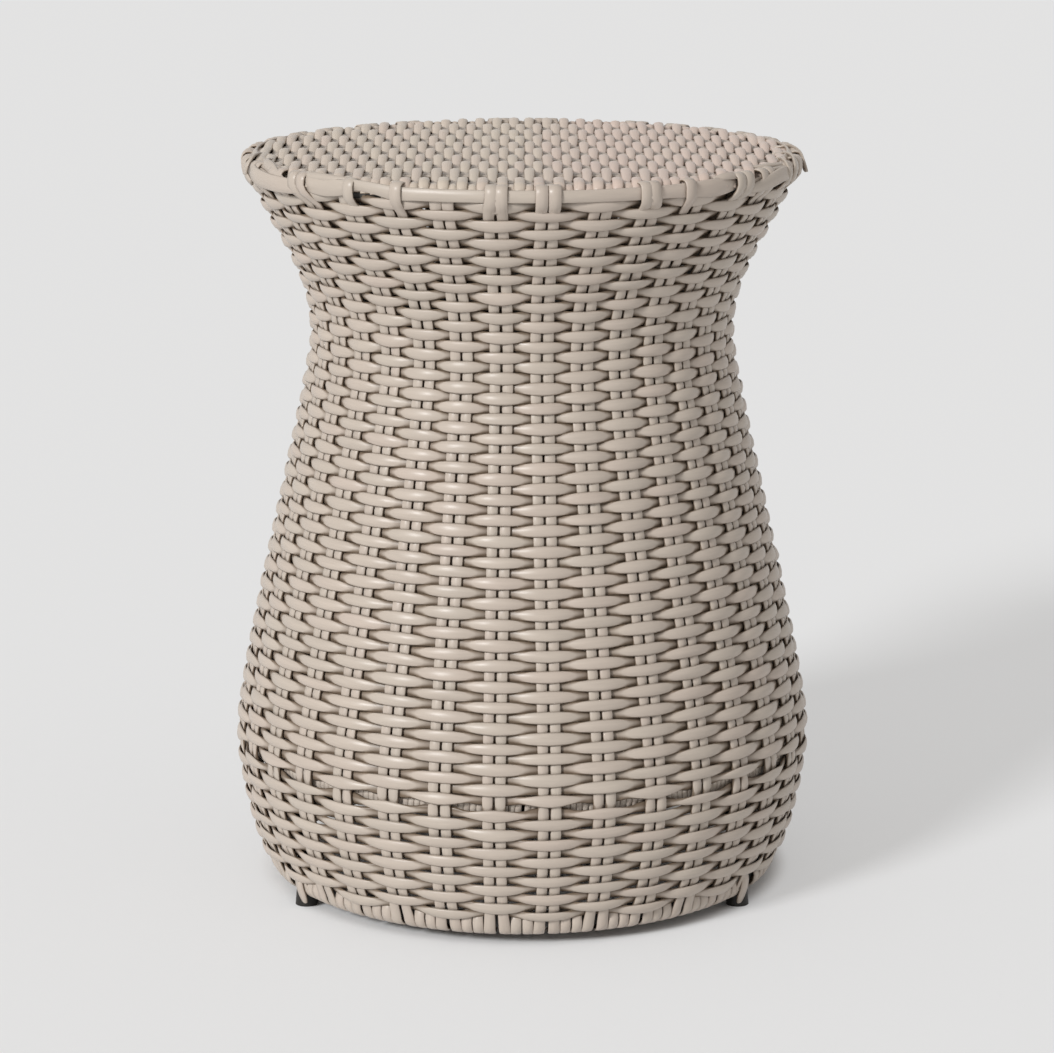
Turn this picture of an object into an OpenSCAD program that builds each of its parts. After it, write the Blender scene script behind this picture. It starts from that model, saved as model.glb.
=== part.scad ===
// Round woven side table: resin strands over a welded steel tube frame.
// Origin on the floor under the middle of the table, +Z up, front towards -Y.

/* [Outline] */
// Height of the woven top above the floor
height = 559; // [520:1:620]
// Widest outer radius of the weave
belly_r = 220.4; // [214:0.1:232]
// Height of the widest place
belly_z = 112; // [106:1:125]
// How far the bottom edge of the weave lies inside the widest place
base_in = 27.8; // [24:0.1:31]
// Narrowest outer radius of the weave
waist_r = 159.7; // [150:0.1:175]
// Height of the narrowest place
waist_z = 421; // [395:1:440]
// Outer radius of the rim, over the straps
rim_r = 208.8; // [202:0.1:220]

/* [Strands] */
// Thickness of one woven strand
strand_t = 2.7; // [2:0.1:2.9]
// Width of a side stake
stake_w = 7.8; // [6:0.1:8.6]
// Distance between the middles of the two stakes in a pair
pair_pitch = 9.2; // [8.8:0.1:11]
// Number of stake pairs round the side
pair_count = 34; // [24:2:36]
// Thickness of the whole weave
weave_t = 9; // [8.8:0.1:12]
// Height of the middle of the open slit, beside the belly ring
slit_z = 114; // [108:1:118]
// Height of the slit itself
slit_h = 6; // [4:0.5:12]
// Number of courses above the slit, one woven strand each
course_count = 60; // [40:2:64]
// Number of courses below the slit
low_course_count = 12; // [8:2:14]
// Height of a course where it lies flat on a pair of stakes
course_h = 9.3; // [8:0.1:10]
// Distance between the strands of the top
column_pitch = 6.8; // [6:0.1:9]

/* [Frame] */
// Diameter of the ring and leg tube
tube_d = 12; // [10:0.5:13]
// Diameter of the bars under the top
bar_d = 10; // [8:0.5:12]
// Bend radius of a leg at the belly
belly_bend = 120; // [80:5:160]
// Bend radius of a leg at the waist
waist_bend = 90; // [60:5:130]
// Free space between the belly ring's wrapping and the weave
ring_gap = 3.6; // [2:0.1:8]
// Thickness of the strand wrapped round the belly ring
wrap_t = 1.9; // [1.2:0.1:2.4]
// Thickness of the strand wrapped round the base ring
base_wrap_t = 1.4; // [1:0.1:1.6]
// Height of the belly ring's middle
belly_ring_z = 118; // [110:1:122]

/* [Feet] */
// Diameter of a foot tip at the floor
foot_d = 17.2; // [15:0.1:20]
// Diameter of a foot tip at its top
foot_top_d = 15; // [14.2:0.1:16.5]
// Height of a foot tip, up to the base ring
foot_h = 13; // [12:0.5:20]
// Thickness of the foot tip under the tube
foot_sole = 3; // [2:0.5:5]

/* [Rim and top] */
// Height of the flat band round the rim
band_h = 9; // [6:0.5:9.5]
// Thickness of the band
band_t = 2.4; // [1.5:0.1:2.8]
// Depth of the lower edge of the band below the top
band_drop = 14; // [13.5:0.5:17]
// Distance between stake pairs in the top
top_pitch = 39.2; // [30:0.1:42]
// How far the middle stake pair of the top lies in front of the table's middle
top_shift = 9; // [0:1:15]
// Number of stake pairs in the top
top_pairs = 9; // [5:2:9]
// Width of a stake in the top
top_stake_w = 7; // [5:0.1:8]
// Free space between the two stakes of a pair in the top
top_stake_gap = 1; // [0.5:0.1:2]

/* [Hidden] */
$fn = 64;

frame_colour = "#4a4640";
strand_colour = "#c6b8a9";
stake_colour = "#bcae9f";
band_colour = "#c9bcad";
foot_colour = "#1c1b1b";

fit = 0.1;                       // clearance between pieces that touch
weld = 0.2;                      // clearance that a weld bead closes
past = 1;                        // how far a cut runs past the faces that it opens
tube_r = tube_d / 2;
steps = 8;                       // steps of each stretch of the outline

// Outline of the side as three smooth stretches: base to belly, belly to waist, waist to rim.
base_r = belly_r - base_in;
base_z = 8;
rim_drop = 7;                    // depth of the widest place of the rim below the top
rim_z = height - rim_drop;
base_pull = [20.2, 26.2];        // how the curve leaves the base: outwards, upwards
belly_hold = [5, 44.5];          // how long it stays wide below and above the belly
waist_hold = [30, 52];           // how long it stays narrow below and above the waist
rim_pull = [24, 60];             // how it reaches the rim: outwards, upwards

function blend(a, b, c, d, u) =
    pow(1 - u, 3) * a + 3 * pow(1 - u, 2) * u * b + 3 * (1 - u) * u * u * c + pow(u, 3) * d;
function stretch(a, b, c, d) = [for (i = [0 : steps - 1]) blend(a, b, c, d, i / steps)];
outline = concat(
    stretch([base_z, base_r], [base_z + base_pull[1], base_r + base_pull[0]],
            [belly_z - belly_hold[0], belly_r], [belly_z, belly_r]),
    stretch([belly_z, belly_r], [belly_z + belly_hold[1], belly_r],
            [waist_z - waist_hold[0], waist_r], [waist_z, waist_r]),
    stretch([waist_z, waist_r], [waist_z + waist_hold[1], waist_r],
            [rim_z - rim_pull[1], rim_r - rim_pull[0]], [rim_z, rim_r]),
    [[rim_z, rim_r]]
);
function outer_r(z) = lookup(z, outline);
function mid_r(z) = outer_r(z) - weave_t / 2;

// The frame follows the weave: rings lie inside it, legs inside the rings.
base_ring_z = foot_h + tube_r + 2 * weld;
belly_ring_r = outer_r(belly_ring_z) - weave_t - ring_gap - wrap_t - tube_r;
leg_r = belly_ring_r - tube_d - weld;
base_wrap_r = tube_r + fit + base_wrap_t;
stake_hug = base_wrap_r + fit + strand_t / 2;
base_ring_r = mid_r(base_ring_z) - stake_hug;
waist_ring_r = outer_r(waist_z) - weave_t - ring_gap - tube_r;
waist_leg_r = waist_ring_r - tube_d - weld;

// Layers of the top, from the top surface down.
layer = strand_t + fit;
stake_top_z = height - layer;
under_top_z = stake_top_z - layer;
ring_top_z = under_top_z;
top_ring_z = ring_top_z - tube_r;
strap_r = rim_r - strand_t;
band_r = strap_r - fit;
skirt_r = band_r - band_t - fit;
top_ring_r = skirt_r - strand_t - fit - tube_r;
flat_in = 3;                     // how far inside the top ring the top starts to turn down
flat_r = top_ring_r - tube_r - flat_in;
under_bottom_z = under_top_z - strand_t;
bar_z = under_bottom_z - fit - bar_d / 2;
band_z = height - band_drop;
strap_corner_r = 9.8;            // how far the straps' bend reaches in from the rim
strap_corner_h = 5;              // and down from the top
strap_tuck = 2.5;                // how far the straps' ends reach inside the top ring's middle
strap_end_r = top_ring_r - strap_tuck;

// Ends of the two parts of the side weave.
base_lift = 2;                   // height of the outer layer's edge above the base ring's middle
lining_gap = 0.6;                // free space between the base ring's wrapping and the inner layer
stake_bare = 6.5;                // bare stretch of the stakes below the band
weave_bottom_z = base_ring_z + base_lift;
inner_bottom_z = base_ring_z + base_wrap_r + lining_gap;
weave_top_z = band_z - stake_bare;
slit_low_z = slit_z - slit_h / 2;
slit_high_z = slit_z + slit_h / 2;

pair_turn = 360 / pair_count;
leg_angles = [-60, 60, 180];

// Stakes are counted from the front to the right. Most fold over the rim band, and a few end
// behind it: some at the front right, at the back and at the front left.
stake_count = 2 * pair_count;
under_stakes = [
    2, 3, 7,
    pair_count - 4, pair_count - 3, pair_count + 2, pair_count + 3,
    stake_count - 8, stake_count - 6, stake_count - 4, stake_count - 3
];
function is_under(n) = len([for (k = under_stakes) if (k == n) k]) > 0;
function pair_angle(i) = (i + 0.5) * pair_turn;
// Angle between a pair and the leg nearest to it
function from_leg(a) = min([for (l = leg_angles) abs((a - l + 540) % 360 - 180)]);

// Puts a piece drawn along +X at angle a, counted from the front to the right.
module around(a) {
    rotate([0, 0, a - 90])
        children();
}

// A flat strip along a path in the radius-height plane, w wide and t thick.
function unit(v) = v / norm(v);
function side_of(path, i) =
    let (
        a = path[max(i - 1, 0)],
        b = path[min(i + 1, len(path) - 1)],
        d = unit(b - a)
    ) [d[1], -d[0]];
function ribbon(path, t) = concat(
    [for (i = [0 : len(path) - 1]) path[i] + side_of(path, i) * t / 2],
    [for (i = [len(path) - 1 : -1 : 0]) path[i] - side_of(path, i) * t / 2]
);
module strip(path, w, t) {
    rotate([90, 0, 0])
        linear_extrude(height = w, center = true)
            polygon(ribbon(path, t));
}

module ring(r, z, d) {
    translate([0, 0, z])
        rotate_extrude($fn = 128)
            translate([r, 0])
                circle(d = d);
}

// Common tangent of two circles in the radius-height plane. Each circle is [r, z, radius];
// a radius below 0 puts the circle on the line's left instead of its right.
function tangent_angle(p, q) =
    let (
        d = [q[0] - p[0], q[1] - p[1]],
        dist = norm(d)
    ) atan2(d[1], d[0]) - asin((p[2] - q[2]) / dist);
function tangent_point(c, a) = [c[0] - c[2] * sin(a), c[1] + c[2] * cos(a)];

// Path of a leg: straight up from the foot, bent in at the belly, out at the waist,
// and straight up to the lower inner side of the top ring.
belly_centre = [leg_r - belly_bend, belly_ring_z + tube_r, -belly_bend];
waist_centre = [waist_leg_r + waist_bend, waist_z, waist_bend];
leg_aim = tube_r - 1;            // how far inside the top ring's middle a leg's line passes
ring_touch = [top_ring_r, top_ring_z, leg_aim];
leg_short = tube_r + weld;       // how far a leg ends below its nearest point to the top ring
lean_in = tangent_angle(belly_centre, waist_centre);
lean_out = tangent_angle(waist_centre, ring_touch);
leg_p1 = tangent_point(belly_centre, lean_in);
leg_p2 = tangent_point(waist_centre, lean_in);
leg_p3 = tangent_point(waist_centre, lean_out);
leg_p4 = tangent_point(ring_touch, lean_out) - leg_short * [cos(lean_out), sin(lean_out)];
bar_reach = (leg_p4[1] - bar_z + bar_d / 2) / tan(lean_out);

leg_path = concat(
    [[leg_r, foot_sole + fit]],
    [for (i = [0 : 3]) arc_point(belly_centre, belly_bend, i / 3 * (lean_in - 90))],
    [for (i = [0 : 8]) arc_point(waist_centre, waist_bend, lean_in + 90 - i / 8 * (lean_in - lean_out))],
    [leg_p4]
);
function arc_point(c, r, a) = [c[0] + r * cos(a), c[1] + r * sin(a)];

// Round tube swept along a path in the radius-height plane
module tube_along(path, r) {
    sides = 24;
    rings = len(path);
    points = [
        for (i = [0 : rings - 1])
            let (n = side_of(path, i))
                for (k = [0 : sides - 1])
                    let (a = k * 360 / sides)
                        [path[i][0] + r * cos(a) * n[0], r * sin(a), path[i][1] + r * cos(a) * n[1]]
    ];
    walls = [
        for (i = [0 : rings - 2])
            for (k = [0 : sides - 1])
                let (a = i * sides + k, b = i * sides + (k + 1) % sides)
                    each [[a, b, b + sides], [a, b + sides, a + sides]]
    ];
    low_end = [for (k = [1 : sides - 2]) [0, k + 1, k]];
    high = (rings - 1) * sides;
    high_end = [for (k = [1 : sides - 2]) [high, high + k, high + k + 1]];
    polyhedron(points, concat(walls, low_end, high_end));
}

module leg(a) {
    color(frame_colour)
        around(a)
            tube_along(leg_path, tube_r);
}

module leg_left() {
    leg(-60);
}

module leg_right() {
    leg(60);
}

module leg_back() {
    leg(180);
}

module foot(a) {
    color(foot_colour)
        around(a)
            translate([leg_r, 0, 0])
                difference() {
                    cylinder(h = foot_h, d1 = foot_d, d2 = foot_top_d);
                    translate([0, 0, foot_sole])
                        cylinder(h = foot_h, r = tube_r + fit);
                }
}

module foot_left() {
    foot(-60);
}

module foot_right() {
    foot(60);
}

module foot_back() {
    foot(180);
}

// Room for the legs and feet in what lies round them.
module leg_room(gap) {
    for (a = leg_angles)
        around(a)
            translate([leg_r, 0, -past])
                cylinder(h = belly_ring_z + tube_d + past, r = tube_r + gap);
}

module leg_slot(gap) {
    for (a = leg_angles)
        around(a)
            translate([leg_r - 2 * tube_d, -tube_r - gap, -past])
                cube([4 * tube_d, tube_d + 2 * gap, belly_ring_z / 2]);
}

module foot_room(gap) {
    for (a = leg_angles)
        around(a)
            translate([leg_r, 0, -past])
                cylinder(h = foot_h + gap + past, r = foot_d / 2 + gap);
}

module top_ring() {
    color(frame_colour)
        ring(top_ring_r, top_ring_z, tube_d);
}

module waist_ring() {
    color(frame_colour)
        ring(waist_ring_r, waist_z, tube_d);
}

module belly_ring() {
    color(frame_colour)
        ring(belly_ring_r, belly_ring_z, tube_d);
}

// Three arcs, butted against the legs
module base_ring() {
    color(frame_colour)
        difference() {
            ring(base_ring_r, base_ring_z, tube_d);
            leg_slot(weld);
        }
}

module wrap(r, z, inner, outer) {
    translate([0, 0, z])
        rotate_extrude($fn = 128)
            translate([r, 0])
                difference() {
                    circle(r = outer);
                    circle(r = inner);
                }
}

module belly_ring_wrap() {
    color(stake_colour)
        difference() {
            wrap(belly_ring_r, belly_ring_z, tube_r + fit, tube_r + wrap_t);
            leg_room(weld);
        }
}

module base_ring_wrap() {
    color(stake_colour)
        difference() {
            wrap(base_ring_r, base_ring_z, tube_r + fit, base_wrap_r);
            leg_slot(weld);
            foot_room(weld);
        }
}

// Bars under the top: one across, coped to the ring, and two halves butted against it
module bar_rod(turn, from, to, d) {
    rotate([0, 0, turn])
        translate([from, 0, bar_z])
            rotate([0, 90, 0])
                cylinder(h = to - from, d = d);
}

module top_bar_cross() {
    color(frame_colour)
        difference() {
            bar_rod(0, -top_ring_r, top_ring_r, bar_d);
            ring(top_ring_r, top_ring_z, tube_d + 2 * weld);
        }
}

module half_bar(turn, to) {
    color(frame_colour)
        difference() {
            bar_rod(turn, 0, to, bar_d);
            ring(top_ring_r, top_ring_z, tube_d + 2 * weld);
            bar_rod(0, -bar_d, bar_d, bar_d + 2 * weld);
        }
}

module top_bar_front() {
    half_bar(-90, top_ring_r);
}

// The back half ends against the back leg.
module top_bar_back() {
    half_bar(90, leg_p4[0] - (tube_r + weld) / sin(lean_out) - bar_reach);
}

// Part of the weave between two heights, as an outer and an inner layer of floats
least_step = 1;
function heights(low, high) = concat(
    [low],
    [for (p = outline) if (p[0] > low + least_step && p[0] < high - least_step) p[0]],
    [high]
);
module layer_solid(low, high, inner, outer) {
    zs = heights(low, high);
    rotate_extrude($fn = 128)
        polygon(concat(
            [for (z = zs) [mid_r(z) + outer, z]],
            [for (i = [len(zs) - 1 : -1 : 0]) [mid_r(zs[i]) + inner, zs[i]]]
        ));
}

// The courses pass outside every other pair of stakes, in turn. Between two courses that do,
// the stakes show through a window in the outer layer.
slit_step = 2.5;                 // from the slit's upper edge to the middle of the course above it
rim_step = 1.9;                  // from the outer layer's edge to the middle of the highest course
course_swell = 10;               // how much wider the courses are spaced low on the side than high
low_step = 3.7;                  // from the slit's lower edge down to the course below it
base_step = 3.6;                 // from the outer layer's lower edge up to the lowest course
window_side = 1.2;               // free space in a window beside the stakes
function course_z(j) =
    let (
        u = j / (course_count - 1),
        low = slit_high_z + slit_step,
        high = weave_top_z + rim_step
    ) low + (high - low) * u + course_swell * u * (1 - u);
function low_course_z(j) =
    let (
        u = j / (low_course_count - 1),
        low = weave_bottom_z + base_step,
        high = slit_low_z - low_step
    ) low + (high - low) * u;

module window(pair, low, high) {
    inside = mid_r((low + high) / 2) + stake_room / 4;
    w = pair_pitch + stake_w + 2 * window_side;
    around(pair_angle(pair))
        translate([inside, -w / 2, low])
            cube([weave_t, w, high - low]);
}

module windows(zs, first) {
    for (j = [1 : len(zs) - 2])
        for (pair = [(j + first) % 2 : 2 : pair_count - 1])
            window(pair, zs[j - 1] + course_h / 2, zs[j + 1] - course_h / 2);
}

// Space that the stakes take between the layers, wider than a stake because the side leans
lean_factor = 1.2;
stake_room = lean_factor * strand_t;

module side_weave(outer_low, inner_low, high) {
    layer_solid(outer_low, high, stake_room / 2, weave_t / 2);
    layer_solid(inner_low, high, -weave_t / 2, -stake_room / 2);
}

module side_weave_upper() {
    color(strand_colour)
        difference() {
            side_weave(slit_high_z, slit_high_z, weave_top_z);
            windows([for (j = [0 : course_count - 1]) course_z(j)], 1);
        }
}

module side_weave_lower() {
    color(strand_colour)
        difference() {
            side_weave(weave_bottom_z, inner_bottom_z, slit_low_z);
            leg_room(fit);
            windows([for (j = [0 : low_course_count - 1]) low_course_z(j)], 1);
        }
}

// Path of a side stake: round the base ring, up inside the weave, then over or behind the band.
function base_turn(last) = [
    for (a = [last : 30 : 0]) [base_ring_r + stake_hug * cos(a), base_ring_z + stake_hug * sin(a)]
];
stake_rise = [for (z = heights(weave_bottom_z, weave_top_z + least_step)) [mid_r(z), z]];
strap_mid_r = rim_r - strand_t / 2;
strap_mid_z = height - strand_t / 2;
strap_bend_z = height - strap_corner_h;
strap_step = 1.5;                // height of the step out to the band, on each side of its edge
under_gap = 0.6;                 // free space between the top's turned edge and a stake below it
over_end = concat(
    [[(mid_r(weave_top_z) + strap_mid_r) / 2, band_z - strap_step]],
    [[strap_mid_r, band_z + strap_step]],
    [for (a = [0 : 22.5 : 90]) [
        rim_r - strap_corner_r + (strap_corner_r - strand_t / 2) * cos(a),
        strap_bend_z + (strap_corner_h - strand_t / 2) * sin(a)
    ]],
    [[strap_end_r, strap_mid_z]]
);
under_end = [[skirt_r - strand_t / 2 - fit, band_z - under_gap]];

// Stakes beside a leg stop at the middle of the base ring, because the leg fills the space below.
leg_share = 0.6;                 // share of a pair's turn that a leg keeps free
module stake(n, ends) {
    a = pair_angle(floor(n / 2));
    shift = (n % 2 - 0.5) * pair_pitch;
    last = from_leg(a) < leg_share * pair_turn ? 0 : -90;
    around(a)
        translate([0, shift, 0])
            strip(concat(base_turn(last), stake_rise, ends), stake_w, strand_t);
}

module side_stakes_over() {
    color(stake_colour)
        for (n = [0 : stake_count - 1])
            if (!is_under(n))
                stake(n, over_end);
}

module side_stakes_under() {
    color(stake_colour)
        for (n = under_stakes)
            stake(n, under_end);
}

// Woven top: upper floats, turned down over the top ring
lid_turn_r = tube_r + fit + strand_t / 2;
lid_path = concat(
    [[0, height - strand_t / 2], [flat_r, height - strand_t / 2]],
    [for (a = [110 : -22 : 0]) [top_ring_r + lid_turn_r * cos(a), top_ring_z + lid_turn_r * sin(a)]],
    [[top_ring_r + lid_turn_r, band_z]]
);

// Grooves between the strands of the top
groove_w = 1.2;
groove_depth = 1.3;
column_half = floor(flat_r / column_pitch - 1);
module top_grooves() {
    for (k = [-column_half : column_half]) {
        x = (k + 0.5) * column_pitch;
        reach = sqrt(max(flat_r * flat_r - x * x, 0));
        translate([x - groove_w / 2, -reach, height - groove_depth])
            cube([groove_w, 2 * reach, groove_depth + past]);
    }
}

module top_weave() {
    color(strand_colour)
        difference() {
            rotate_extrude($fn = 128)
                polygon(ribbon(lid_path, strand_t));
            top_grooves();
        }
}

module top_underweave() {
    color(strand_colour)
        translate([0, 0, under_bottom_z])
            cylinder(h = strand_t, r = flat_r - lining_gap, $fn = 128);
}

module top_stakes() {
    half = (top_pairs - 1) / 2;
    color(stake_colour)
        intersection() {
            for (i = [-half : half])
                for (s = [-1, 1]) {
                    y = i * top_pitch - top_shift + s * (top_stake_w + top_stake_gap) / 2;
                    translate([-flat_r, y - top_stake_w / 2, under_top_z + fit / 2])
                        cube([2 * flat_r, top_stake_w, strand_t - fit / 2]);
                }
            cylinder(h = height, r = flat_r - lining_gap, $fn = 128);
        }
}

module rim_band() {
    color(band_colour)
        translate([0, 0, band_z])
            difference() {
                cylinder(h = band_h, r = band_r, $fn = 128);
                translate([0, 0, -past])
                    cylinder(h = band_h + 2 * past, r = band_r - band_t, $fn = 128);
            }
}

top_ring();
top_bar_cross();
top_bar_front();
top_bar_back();
waist_ring();
belly_ring();
base_ring();
leg_left();
leg_right();
leg_back();
foot_left();
foot_right();
foot_back();
belly_ring_wrap();
base_ring_wrap();
side_weave_upper();
side_weave_lower();
side_stakes_over();
side_stakes_under();
top_weave();
top_underweave();
top_stakes();
rim_band();
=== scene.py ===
import math

import bmesh
import bpy
import numpy as np
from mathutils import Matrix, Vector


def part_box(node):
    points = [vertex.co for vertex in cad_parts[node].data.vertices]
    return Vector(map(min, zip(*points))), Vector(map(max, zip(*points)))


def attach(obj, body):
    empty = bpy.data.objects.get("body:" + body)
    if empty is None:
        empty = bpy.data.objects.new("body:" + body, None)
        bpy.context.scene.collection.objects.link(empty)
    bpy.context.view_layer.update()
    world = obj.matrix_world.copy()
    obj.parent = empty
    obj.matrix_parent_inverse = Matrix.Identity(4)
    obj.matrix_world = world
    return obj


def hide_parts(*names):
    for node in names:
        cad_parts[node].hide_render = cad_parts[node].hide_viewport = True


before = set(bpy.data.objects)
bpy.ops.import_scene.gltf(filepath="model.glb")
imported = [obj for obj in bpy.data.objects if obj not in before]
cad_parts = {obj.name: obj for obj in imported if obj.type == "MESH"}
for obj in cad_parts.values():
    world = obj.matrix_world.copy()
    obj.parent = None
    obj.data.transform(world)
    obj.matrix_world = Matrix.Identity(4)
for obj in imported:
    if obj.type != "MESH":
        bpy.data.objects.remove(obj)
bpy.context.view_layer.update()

dice = np.random.default_rng(41)      # one seed, so every run gives the same table
print("frame loaded:", len(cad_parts), "nodes")


# shader nodes

def wire(tree, kind, links=(), values=()):
    # adds a node, sets named inputs and links others
    node = tree.nodes.new(kind)
    for name, value in dict(values).items():
        node.inputs[name].default_value = value
    for name, source in dict(links).items():
        tree.links.new(source, node.inputs[name])
    return node


def fill(tree, sockets, values):
    # each value is a number or colour for its socket, or another node's output to link
    for socket, value in zip(sockets, values):
        if isinstance(value, (int, float, tuple)):
            socket.default_value = value
        else:
            tree.links.new(value, socket)


def maths(tree, operation, a, b=0):
    node = tree.nodes.new("ShaderNodeMath")
    node.operation = operation
    fill(tree, node.inputs, (a, b))
    return node.outputs[0]


def mixColours(tree, share, a, b, blend="MIX"):
    node = tree.nodes.new("ShaderNodeMix")
    node.data_type = "RGBA"
    node.blend_type = blend
    fill(tree, (node.inputs[0], node.inputs[6], node.inputs[7]), (share, a, b))
    return node.outputs[2]


def ramp(tree, value, low, high):
    # eases from 0 at low to 1 at high
    node = tree.nodes.new("ShaderNodeMapRange")
    node.interpolation_type = "SMOOTHSTEP"
    fill(tree, (node.inputs["Value"], node.inputs["From Min"], node.inputs["From Max"]), (value, low, high))
    return node.outputs["Result"]


# camera, light and floor

view = {
    "distance": 2.634,         # from the table's axis to the camera
    "height": 0.880,
    "aside": 0.0037,
    "pitch": 13.05,            # degrees below the horizon
    "lens": 121.2,
    "sensor": 36,
}


def placeCamera():
    data = bpy.data.cameras.new("camera")
    data.lens = view["lens"]
    data.sensor_width = view["sensor"]
    camera = bpy.data.objects.new("camera", data)
    camera.location = (view["aside"], -view["distance"], view["height"])
    camera.rotation_euler = (math.radians(90 - view["pitch"]), 0, 0)
    bpy.context.collection.objects.link(camera)
    bpy.context.scene.camera = camera
    print("camera placed")


light = {
    "keySide": 40,             # degrees to the left of the camera
    "keyHeight": 28,           # degrees above the floor
    "keySoftness": 13,
    "keyPower": 2.4,
    "air": (0.495, 0.480, 0.464),      # colour of the world as a light
    "paper": 0.768,            # grey of floor and background in the picture
    "floorColour": (0.895, 0.905, 0.918),
    "floorSize": 40,
    "floorLift": 0.48,         # share of the floor that shows as plain paper
    # painted shade: within darkEdge of this middle, under the table, the floor misses the paper's lift and
    # shows darker
    "darkMiddle": (0, 0.016, 0),
    "darkEdge": (0.192, 0.210),        # so far from the dark middle that share is nothing, or whole
}


def seenRays(tree):
    # 1 for rays that show the background: camera, glossy and transmitted ones
    path = tree.nodes.new("ShaderNodeLightPath").outputs
    seen = maths(tree, "MAXIMUM", path["Is Camera Ray"], path["Is Glossy Ray"])
    return maths(tree, "MAXIMUM", seen, path["Is Transmission Ray"])


def joinShaders(tree, outKind, share, plain, paper):
    # the plain shader, and in its place by the given share the colour of paper
    mix = tree.nodes.new("ShaderNodeMixShader")
    fill(tree, mix.inputs, (share, plain.outputs[0], paper.outputs[0]))
    wire(tree, outKind, {"Surface": mix.outputs[0]})


def lightScene():
    data = bpy.data.lights.new("key", "SUN")
    data.angle = math.radians(light["keySoftness"])
    data.energy = light["keyPower"]
    lamp = bpy.data.objects.new("key", data)
    lamp.rotation_euler = (math.radians(90 - light["keyHeight"]), 0, math.radians(-light["keySide"]))
    bpy.context.collection.objects.link(lamp)
    world = bpy.data.worlds.new("studio")
    bpy.context.scene.world = world
    world.use_nodes = True
    tree = world.node_tree
    tree.nodes.clear()
    air = wire(tree, "ShaderNodeBackground", values={"Color": light["air"] + (1,)})
    paper = wire(tree, "ShaderNodeBackground", values={"Color": (light["paper"],) * 3 + (1,)})
    joinShaders(tree, "ShaderNodeOutputWorld", seenRays(tree), air, paper)
    print("light set")


def layFloor():
    bm = bmesh.new()
    bmesh.ops.create_grid(bm, x_segments=1, y_segments=1, size=light["floorSize"])
    mesh = bpy.data.meshes.new("floor")
    bm.to_mesh(mesh)
    bm.free()
    floor = bpy.data.objects.new("floor", mesh)
    bpy.context.collection.objects.link(floor)
    material = bpy.data.materials.new("paleFloor")
    material.use_nodes = True
    tree = material.node_tree
    tree.nodes.clear()
    paint = wire(tree, "ShaderNodeBsdfDiffuse", values={"Color": light["floorColour"] + (1,)})
    paper = wire(tree, "ShaderNodeEmission", values={"Color": (light["paper"],) * 3 + (1,)})
    # painted shade: near and under the table the paper is left out, so the floor there is darker
    away = tree.nodes.new("ShaderNodeVectorMath")
    away.operation = "DISTANCE"
    place = tree.nodes.new("ShaderNodeTexCoord").outputs["Object"]
    fill(tree, away.inputs, (place, light["darkMiddle"]))
    clear = ramp(tree, away.outputs["Value"], *light["darkEdge"])
    share = maths(tree, "MULTIPLY", maths(tree, "MULTIPLY", clear, light["floorLift"]), seenRays(tree))
    joinShaders(tree, "ShaderNodeOutputMaterial", share, paint, paper)
    mesh.materials.append(material)
    print("floor laid")


# finishes

resin = {
    "drift": (9, 0.0, 2),      # noise of the tone: its scale along and round the strand, and its detail
    "blush": (4.3, 0.0, 1),
    "streaks": (38, 11, 3),
    "grain": (900, 46, 2),
    "noiseRoughness": 0.6,
    "blushFrom": 0.42,
    "blushGain": 2.6,
    "shadeSideWarmFrom": (-0.01, 0.06),         # where a warmer tint painted on the side away from the light begins and is full, left to right
    "shade": (0.22, -0.12),    # painted shade, by height round the strand less how deep it lies: none above the first, full below the second
    "rough": 0.28,
    "streaksRough": 0.2,
    "grainHeight": 0.4,        # against the streaks
    "bump": 0.35,
    "specular": 0.45,
    "shadeShare": 0.9,              # how much of that painted shade a strand takes
}


def startGroup(name, colours, numbers):
    # an effect with these inputs, which puts out a colour, a roughness and a height
    group = bpy.data.node_groups.new(name, "ShaderNodeTree")
    colour, number = "NodeSocketColor", "NodeSocketFloat"
    for key in colours + numbers:
        kind = colour if key in colours else number
        group.interface.new_socket(name=key, in_out="INPUT", socket_type=kind)
    for key, kind in (("Colour", colour), ("Roughness", number), ("Height", number)):
        group.interface.new_socket(name=key, in_out="OUTPUT", socket_type=kind)
    return group, group.nodes.new("NodeGroupInput").outputs


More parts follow.
